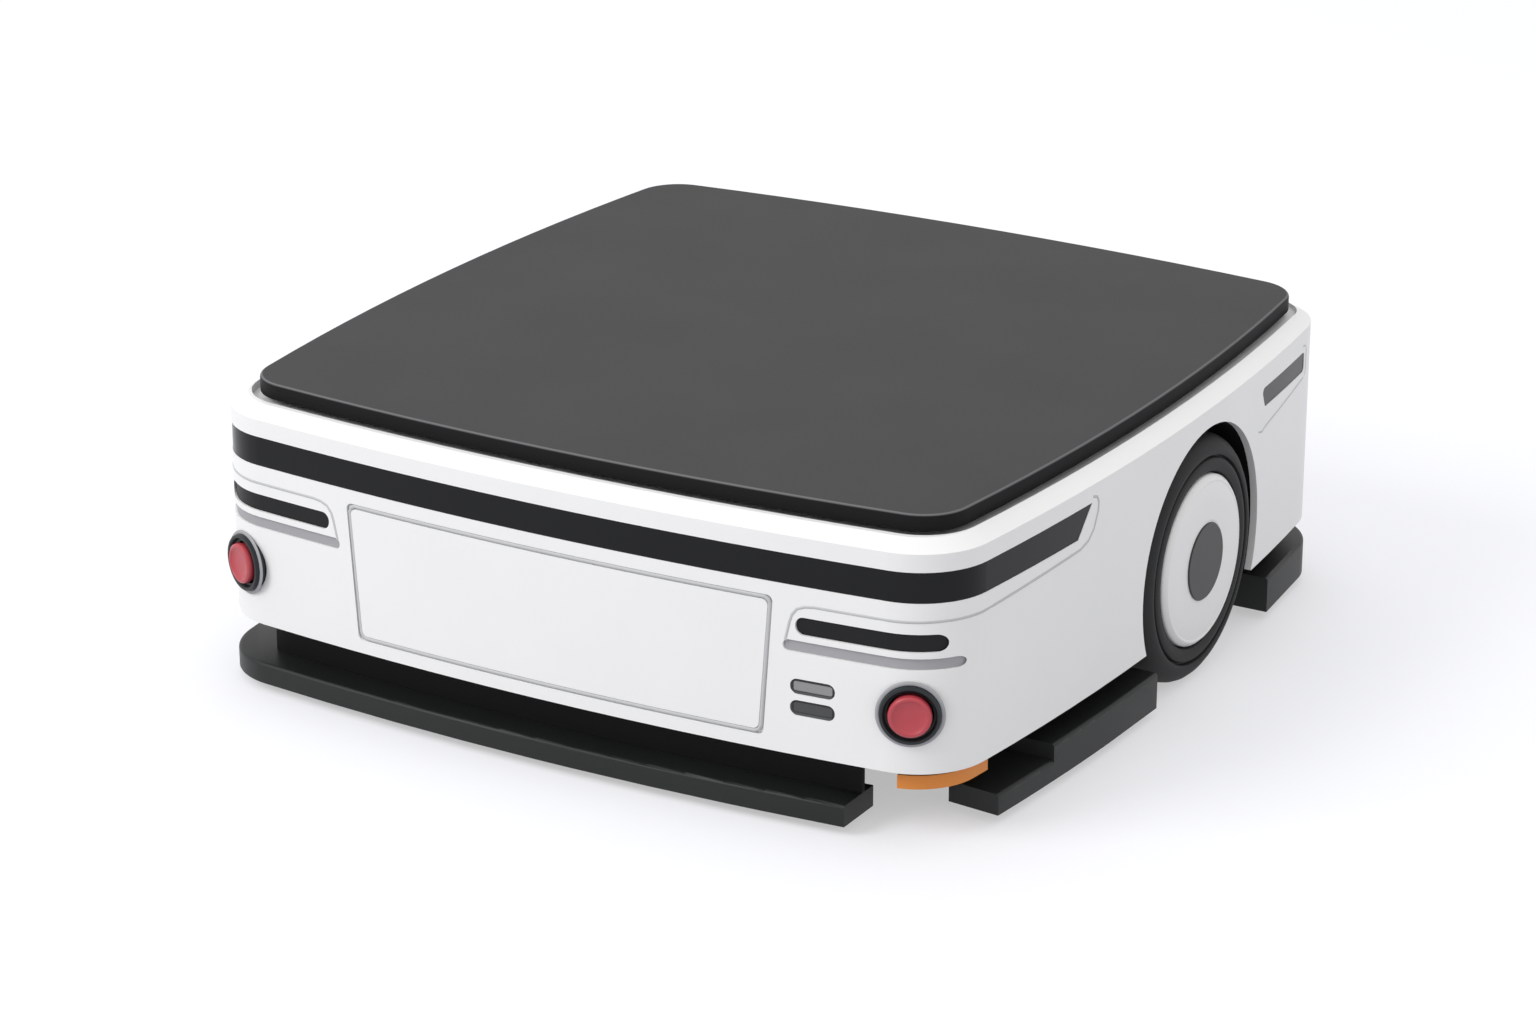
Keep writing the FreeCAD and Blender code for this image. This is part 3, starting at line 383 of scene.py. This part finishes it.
# %% [markdown]
# ## Tyre
#
# The drive wheel has a solid rubber tyre with a broad round shoulder, a moulded
# groove where the shoulder meets the flat side, and a raised ring beside the
# hubcap. The profile is closed, so that the last ring meets the first.

# %% Tyre
WHEEL_Y, WHEEL_Z = 0.060, 0.102
# radius and place across the width, from the rim seat round the outside, in mm
TYRE_PROFILE = (
    (70.2, 2), (74, 0.6), (82, 0.2), (90, 1.2), (95, 3.5), (98.6, 7), (100.8, 11.5),
    (101.8, 17), (102, 23), (101.8, 29), (100.8, 34.4), (98.8, 38.8), (96, 42),
    (92.6, 44.4), (89.2, 45.6), (86.6, 45.8), (85.4, 45.2), (84.9, 43.6), (84.7, 41.6),
    (83.5, 41.4), (83.1, 43.4), (82.4, 45), (81, 45.8), (78, 45.9), (74.5, 45.4),
    (72.4, 44.6), (71.6, 43.2), (71.2, 39), (70.2, 39), (70.2, 2),
)
right_tyre = turned("turned_tyre_right", TYRE_PROFILE, 144, closed=True)
left_tyre = right_tyre.copy()
left_tyre.data = right_tyre.data.copy()
left_tyre.name = "turned_tyre_left"
scene.collection.objects.link(left_tyre)
set_down(right_tyre, (0.301, WHEEL_Y, WHEEL_Z), (1, 0, 0))
set_down(left_tyre, (-0.301, WHEEL_Y, WHEEL_Z), (-1, 0, 0))
hand_over(right_tyre, "drive_wheel_right", "tyre_rubber", tyre, "drive_tyre_right")
hand_over(left_tyre, "drive_wheel_left", "tyre_rubber", tyre, "drive_tyre_left")

# %% [markdown]
# ## Hubcap
#
# A white disc covers the rim. Its edge is cut at a slope that catches the light
# as a bright line, and a fine step runs round inside it.

# %% Hubcap
HUBCAP_PROFILE = ((69.6, 0.1), (69.9, 1.0), (69.9, 5.2), (69.4, 6.2), (66.6, 8.9), (65.6, 9.3),
                  (64.8, 9.2), (64.2, 8.9), (63.4, 9.1), (50, 9.4), (33.4, 9.6), (33.0, 9.2),
                  (32.2, 9.2), (31.9, 9.7))
right_cap = turned("turned_hubcap_right", HUBCAP_PROFILE + ((0.5, 9.7),), 144)
only(right_cap)
bpy.ops.object.mode_set(mode="EDIT")
bpy.ops.mesh.select_all(action="SELECT")
bpy.ops.mesh.region_to_loop()
bpy.ops.mesh.edge_face_add()
bpy.ops.object.mode_set(mode="OBJECT")
left_cap = right_cap.copy()
left_cap.data = right_cap.data.copy()
left_cap.name = "turned_hubcap_left"
scene.collection.objects.link(left_cap)
set_down(right_cap, (0.340, WHEEL_Y, WHEEL_Z), (1, 0, 0))
set_down(left_cap, (-0.340, WHEEL_Y, WHEEL_Z), (-1, 0, 0))
hand_over(right_cap, "drive_wheel_right", "hub_white", white_abs, "hubcap_right")
hand_over(left_cap, "drive_wheel_left", "hub_white", white_abs, "hubcap_left")

# %% [markdown]
# ## Emergency stops
#
# Each stop is a dark collar with a bright bezel, let into the corner, and a red
# head with a rounded rim and a slightly hollow face. The bezel's grey is painted
# shade of the white chamfer round the hole.

# %% Emergency stops
# radius and height above the piece's seat, in mm
STOP_HEAD = ((15.2, -11), (15.2, -1.5), (16.4, -1.0), (16.5, 0.6), (15.9, 2.2), (14.6, 3.1),
             (13.2, 3.1), (12.0, 2.2), (10.6, 1.6), (6.0, 1.2),
             (0.5, 1.1))
STOP_COLLAR = ((22.9, -8.0), (22.9, -0.6), (22.4, 0.2), (21.4, 0.5), (20.4, 0.3), (19.6, -0.6),
               (18.8, -3.2), (17.2, -3.6), (17.2, -8.0), (22.9, -8.0))
STOP_BEZEL = ((23.6, -2.2), (25.6, -2.0), (25.9, -1.4), (25.4, -0.8), (24.2, -0.4), (23.2, -0.5),
              (22.95, -1.2), (23.6, -2.2))
CORNER_X, CORNER_Y, CORNER = 0.27387, -0.27719, 0.060
STOP_X, STOP_Z = 0.298, 0.106
aside = STOP_X - CORNER_X
for side, hand in (("right", 1), ("left", -1)):
    facing = Vector((hand * aside, -math.sqrt(CORNER ** 2 - aside ** 2), 0))
    face = Vector((hand * CORNER_X, CORNER_Y, STOP_Z)) + facing
    facing.normalize()
    for kind, profile, material, slot, lift, closed in (
            ("head", STOP_HEAD, stop_red, "stop_red", 0.0048, False),
            ("collar", STOP_COLLAR, stop_dark, "stop_dark", 0.0045, True),
            # the bezel's grey is painted shade of the white chamfer round the hole
            ("bezel", STOP_BEZEL, grey_painted_shade, "ledge_grey", 0.0022, True)):
        piece = turned("stop_%s_%s" % (kind, side), profile, 72, closed=closed)
        set_down(piece, face + facing * lift, facing)
        hand_over(piece, "chassis", slot, material,
                  *{"head": ("stop_buttons",), "collar": ("stop_collars",)}.get(kind, ()))

# %% [markdown]
# ## Lines moulded into the cover
#
# A narrow crease runs from the front slot up beside the band, round the corner
# and about the band's end, and frames stand round the rear windows. Each is a
# half-round bead whose path keeps to the bows and corners of the cover. A
# curve with a round section makes it, sunk so that only its crown shows.

# %% The plan line of the cover
END_BOW, SIDE_BOW = 2.600, 2.450
HALF_WIDTH, HALF_LENGTH = 0.350, 0.352


def on_cover(x, y, z, proud=0.0):
    """The point of the cover's face nearest to x, y, in the front right quarter."""
    # the end bow meets the corner's round a little past the round's centre
    if x < CORNER_X + 0.0015:
        centre, radius = Vector((0, END_BOW - HALF_LENGTH)), END_BOW
    elif y > CORNER_Y:
        centre, radius = Vector((HALF_WIDTH - SIDE_BOW, 0)), SIDE_BOW
    else:
        centre, radius = Vector((CORNER_X, CORNER_Y)), CORNER
    away = (Vector((x, y)) - centre).normalized()
    spot = centre + away * (radius + proud)
    return Vector((spot.x, spot.y, z))


def bead(name, points, thick, closed=False, hand=1, turn=1):
    """A round bead along points in metres, mirrored by hand and turn, as a mesh."""
    line = bpy.data.curves.new(name, "CURVE")
    line.dimensions = "3D"
    line.bevel_depth = thick
    line.bevel_resolution = 3
    line.use_fill_caps = True
    spline = line.splines.new("POLY")
    spline.points.add(len(points) - 1)
    for point, place in zip(spline.points, points):
        point.co = (place.x * hand, place.y * turn, place.z, 1)
    spline.use_cyclic_u = closed
    piece = bpy.data.objects.new(name, line)
    scene.collection.objects.link(piece)
    only(piece)
    bpy.ops.object.convert(target="MESH")
    bpy.ops.object.mode_set(mode="EDIT")
    bpy.ops.mesh.select_all(action="SELECT")
    bpy.ops.mesh.remove_doubles(threshold=1e-6)
    bpy.ops.mesh.normals_make_consistent(inside=False)
    bpy.ops.object.mode_set(mode="OBJECT")
    bpy.ops.object.shade_smooth_by_angle(angle=math.radians(40))
    return piece


def along(corners, step=0.004):
    """Points every few millimetres along straight runs between corners."""
    points = []
    for (x1, y1, z1), (x2, y2, z2) in zip(corners, corners[1:]):
        count = max(1, int(math.dist((x1, y1, z1), (x2, y2, z2)) / step))
        points += [(x1 + (x2 - x1) * i / count, y1 + (y2 - y1) * i / count,
                    z1 + (z2 - z1) * i / count) for i in range(count)]
    return points + [corners[-1]]


# %% Creases and frames
# the same white plastic, but in the shade of its own crease: a pale even grey
crease_grey, shader, place = new_material("moulded_crease_in_shade", ior=1.5)
surface(crease_grey, shader, place, "c2c3c4", "bcbdbe", 2.0, 0.004, (0.45, 0.55))
CREASE = (
    (0.2005, -0.352, 0.148), (0.204, -0.352, 0.163), (0.206, -0.352, 0.169),
    (0.210, -0.352, 0.174), (0.216, -0.352, 0.1765), (0.224, -0.352, 0.1775),
    (0.272, -0.352, 0.1775), (0.290, -0.345, 0.1775), (0.306, -0.335, 0.1777),
    (0.318, -0.322, 0.178), (0.326, -0.308, 0.178), (0.332, -0.290, 0.178),
    (0.350, -0.276, 0.1785), (0.350, -0.156, 0.1835), (0.350, -0.144, 0.187),
    (0.350, -0.136, 0.194), (0.350, -0.130, 0.207), (0.350, -0.1295, 0.214),
    (0.350, -0.132, 0.2185), (0.350, -0.138, 0.2205),
)
for side, hand in (("right", 1), ("left", -1)):
    points = [on_cover(x, y, z, -0.0012) for x, y, z in along(CREASE)]
    piece = bead("band_crease_" + side, points, 0.0017, hand=hand)
    hand_over(piece, "chassis", "cover_white", crease_grey)
    frame_line = (
        (0.350, 0.168, 0.176), (0.350, 0.176, 0.174), (0.350, 0.184, 0.1765),
        (0.350, 0.279, 0.1885), (0.350, 0.283, 0.192), (0.350, 0.284, 0.211),
        (0.350, 0.281, 0.2155), (0.350, 0.276, 0.2165),
    )
    points = [on_cover(x, -abs(y), z, -0.0012) for x, y, z in along(frame_line)]
    piece = bead("rear_window_crease_" + side, points, 0.0015, hand=hand, turn=-1)
    hand_over(piece, "chassis", "cover_white", crease_grey)

# %% [markdown]
# ## Panel joint
#
# The service panel sits in the front with a narrow joint all round. A bead lies
# in that joint, a little under the face, and shows as a pale grey line.

# %% Panel joint
PANEL_JOINT = (
    (-0.183, -0.352, 0.179), (0.183, -0.352, 0.179), (0.1862, -0.352, 0.1775),
    (0.1877, -0.352, 0.174), (0.1802, -0.352, 0.076), (0.1784, -0.352, 0.0725),
    (0.175, -0.352, 0.071), (-0.175, -0.352, 0.071), (-0.1784, -0.352, 0.0725),
    (-0.1802, -0.352, 0.076), (-0.1877, -0.352, 0.174), (-0.1862, -0.352, 0.1775),
)
points = [on_cover(x, y, z, -0.0017) for x, y, z in along(PANEL_JOINT + PANEL_JOINT[:1])[:-1]]
piece = bead("panel_joint", points, 0.0019, closed=True)
hand_over(piece, "chassis", "cover_white", crease_grey)

# %% [markdown]
# ## Bumper bars
#
# The bars are cast in one piece with soft corners, and those corners take long
# highlights. Each starts as a copy of its solid: the loose triangles are merged
# and joined to whole faces. The upright edges at the ends get a wide round
# first, and then a bevel rounds every edge that is still sharp.

# %% Bumper bars
BARS = ("front_bumper", "rear_bumper", "right_bumper", "left_bumper", "rear_left_bumper",
        "rear_right_bumper")
for node in BARS:
    solid = frame["nodes"][node]
    piece = solid.copy()
    piece.data = solid.data.copy()
    piece.name = "rounded_" + node
    scene.collection.objects.link(piece)
    only(piece)
    bpy.ops.object.mode_set(mode="EDIT")
    bpy.ops.mesh.select_all(action="SELECT")
    bpy.ops.mesh.remove_doubles(threshold=1e-6)
    bpy.ops.mesh.dissolve_limited(angle_limit=math.radians(1))
    bpy.ops.mesh.select_all(action="DESELECT")
    bpy.ops.mesh.select_mode(type="EDGE")
    bpy.ops.mesh.edges_select_sharp(sharpness=math.radians(50))
    bpy.ops.object.mode_set(mode="OBJECT")
    spots = piece.data.vertices
    for edge in piece.data.edges:
        rise = spots[edge.vertices[1]].co - spots[edge.vertices[0]].co
        edge.select = edge.select and rise.length > 0.012 and abs(rise.z) > 0.95 * rise.length
    bpy.ops.object.mode_set(mode="EDIT")
    bpy.ops.mesh.bevel(offset=0.008, segments=5, clamp_overlap=True)
    bpy.ops.object.mode_set(mode="OBJECT")
    rounding = piece.modifiers.new("rounding", "BEVEL")
    rounding.width = 0.0035
    rounding.segments = 3
    rounding.limit_method = "ANGLE"
    rounding.angle_limit = math.radians(50)
    bpy.ops.object.modifier_apply(modifier="rounding")
    bpy.ops.object.shade_smooth_by_angle(angle=math.radians(40))
    hand_over(piece, "chassis", "bumper_rubber", bumper_tpu, node)

# %% [markdown]
# ## Service ports
#
# The two ports are moulded cups with a rounded rim. The upper holds a pale
# lens, the lower a dark one. A thin block gets its upright edges rounded, and
# its front face is set in twice, down for the rim and up for the lens.

# %% Service ports
# the rim is satin ABS and frames the lens, which is smoother and catches more light
port_rim, shader, place = new_material("satin_dark_grey_abs", ior=1.5, specular_ior_level=0.3)
surface(port_rim, shader, place, "4a4b4c", "444546", 0.8, 0.02, (0.4, 0.5))
port_lens, shader, place = new_material("pale_port_lens", ior=1.5)
surface(port_lens, shader, place, "8f8f90", "868687", 0.8, 0.01, (0.3, 0.4))
PORT_X, PORT_Y, PORT_SIZE = 0.222, -0.342, (0.0352, 0.0112, 0.003)
for name, height, material in (("upper", 0.113, port_lens), ("lower", 0.096, port_rim)):
    bpy.ops.object.select_all(action="DESELECT")
    bpy.ops.mesh.primitive_cube_add(size=1, location=(0, 0, 0))
    piece = bpy.context.object
    piece.name = "port_cup_" + name
    bpy.ops.object.mode_set(mode="EDIT")
    bpy.ops.mesh.select_all(action="SELECT")
    bpy.ops.transform.resize(value=PORT_SIZE)
    bpy.ops.mesh.select_all(action="DESELECT")
    bpy.ops.object.mode_set(mode="OBJECT")
    for edge in piece.data.edges:
        a, b = (piece.data.vertices[i].co for i in edge.vertices)
        edge.select = abs(a.z - b.z) > 0.001
    bpy.ops.object.mode_set(mode="EDIT")
    bpy.ops.mesh.bevel(offset=0.0036, segments=8, affect="EDGES")
    bpy.ops.mesh.select_all(action="DESELECT")
    bpy.ops.object.mode_set(mode="OBJECT")
    for face in piece.data.polygons:
        face.select = face.normal.z > 0.9
    bpy.ops.object.mode_set(mode="EDIT")
    bpy.ops.mesh.inset(thickness=0.0014)
    bpy.ops.transform.translate(value=(0, 0, -0.0016))
    bpy.ops.mesh.inset(thickness=0.0006)
    bpy.ops.transform.translate(value=(0, 0, 0.0007))
    bpy.ops.object.mode_set(mode="OBJECT")
    bpy.ops.object.shade_smooth_by_angle(angle=math.radians(34))
    lens_faces = [face.index for face in piece.data.polygons if face.select]
    only(piece)
    piece.rotation_euler = (math.radians(90), 0, math.atan2(PORT_X, 2.59))
    piece.location = on_cover(PORT_X, PORT_Y, height, -0.0016)
    bpy.ops.object.transform_apply(location=True, rotation=True, scale=True)
    hand_over(piece, "chassis", "port_grey", port_rim, "service_ports")
    piece.data.materials.append(material)
    for index in lens_faces:
        piece.data.polygons[index].material_index = 1

# %% [markdown]
# ## Floor and light
#
# The machine stands on a plain pale floor. Seen directly, the floor is almost
# white, and it keeps the soft shadow. The lamps are large and far away, so the
# shadow has no hard edge: one from the front left, and a weak one from above and
# behind. The right side gets only the sky, a tone less than the front.

# %% Floor
bpy.ops.object.select_all(action="DESELECT")
bpy.ops.mesh.primitive_plane_add(size=40, location=(0, 0, 0))
floor = bpy.context.object
floor.name = "floor"
floor_paint = bpy.data.materials.new("pale_studio_floor")
floor_paint.use_nodes = True
floor_paint.node_tree.nodes.clear()
# the glow is only seen, by eye and in mirrors, and lights nothing
matt = add_node(floor_paint, "ShaderNodeBsdfDiffuse", {"Color": linear("bcbdc2")})
seen = add_node(floor_paint, "ShaderNodeLightPath")
direct = add_node(floor_paint, "ShaderNodeMath", {
    0: seen.outputs["Is Camera Ray"], 1: seen.outputs["Is Glossy Ray"]},
    operation="MAXIMUM")
direct = add_node(floor_paint, "ShaderNodeMath", {
    0: direct.outputs[0], 1: seen.outputs["Is Transmission Ray"]}, operation="MAXIMUM")
GLOW = 0.45
lift = add_node(floor_paint, "ShaderNodeMath", {0: direct.outputs[0], 1: GLOW},
                operation="MULTIPLY")
glow = add_node(floor_paint, "ShaderNodeEmission", {
    "Color": linear("ffffff"), "Strength": lift.outputs[0]})
both = add_node(floor_paint, "ShaderNodeAddShader", {0: matt.outputs[0], 1: glow.outputs[0]})
add_node(floor_paint, "ShaderNodeOutputMaterial", {"Surface": both.outputs[0]})
floor.data.materials.append(floor_paint)
print("floor", floor.dimensions[:])

# %% [markdown]
# ## Sky and lamps
#
# The sky lights the machine a little below white, and shows as pure white to
# the camera and in reflections, so that glossy parts mirror a white room.

# %% World
world = bpy.data.worlds.new("studio")
scene.world = world
world.use_nodes = True
world.node_tree.nodes.clear()
path = add_node(world, "ShaderNodeLightPath")
direct = add_node(world, "ShaderNodeMath", {
    0: path.outputs["Is Camera Ray"], 1: path.outputs["Is Glossy Ray"]},
    operation="MAXIMUM")
direct = add_node(world, "ShaderNodeMath", {
    0: direct.outputs[0], 1: path.outputs["Is Transmission Ray"]}, operation="MAXIMUM")
level = add_node(world, "ShaderNodeMapRange", {
    "Value": direct.outputs[0], "To Min": 0.90, "To Max": 1.0})
sky = add_node(world, "ShaderNodeBackground", {
    "Color": linear("ffffff"), "Strength": level.outputs["Result"]})
add_node(world, "ShaderNodeOutputWorld", {"Surface": sky.outputs[0]})

# %% Lamps
# name, place, width, watts
LAMPS = (
    ("key_front_left", (-3.2, -4.6, 4.6), 3.0, 210),
    ("overhead", (-1.8, 1.6, 5.0), 3.0, 12),
)
for name, spot, width, watts in LAMPS:
    lamp_data = bpy.data.lights.new(name, "AREA")
    lamp_data.shape = "SQUARE"
    lamp_data.size = width
    lamp_data.energy = watts
    lamp = bpy.data.objects.new(name, lamp_data)
    scene.collection.objects.link(lamp)
    lamp.location = spot
    lamp.rotation_euler = (Vector((0, 0, 0.12)) - Vector(spot)).to_track_quat("-Z", "Y").to_euler()
    print(name, "at", round(Vector(spot).length, 2), "m,", watts, "W")
scene.view_settings.view_transform = "Standard"
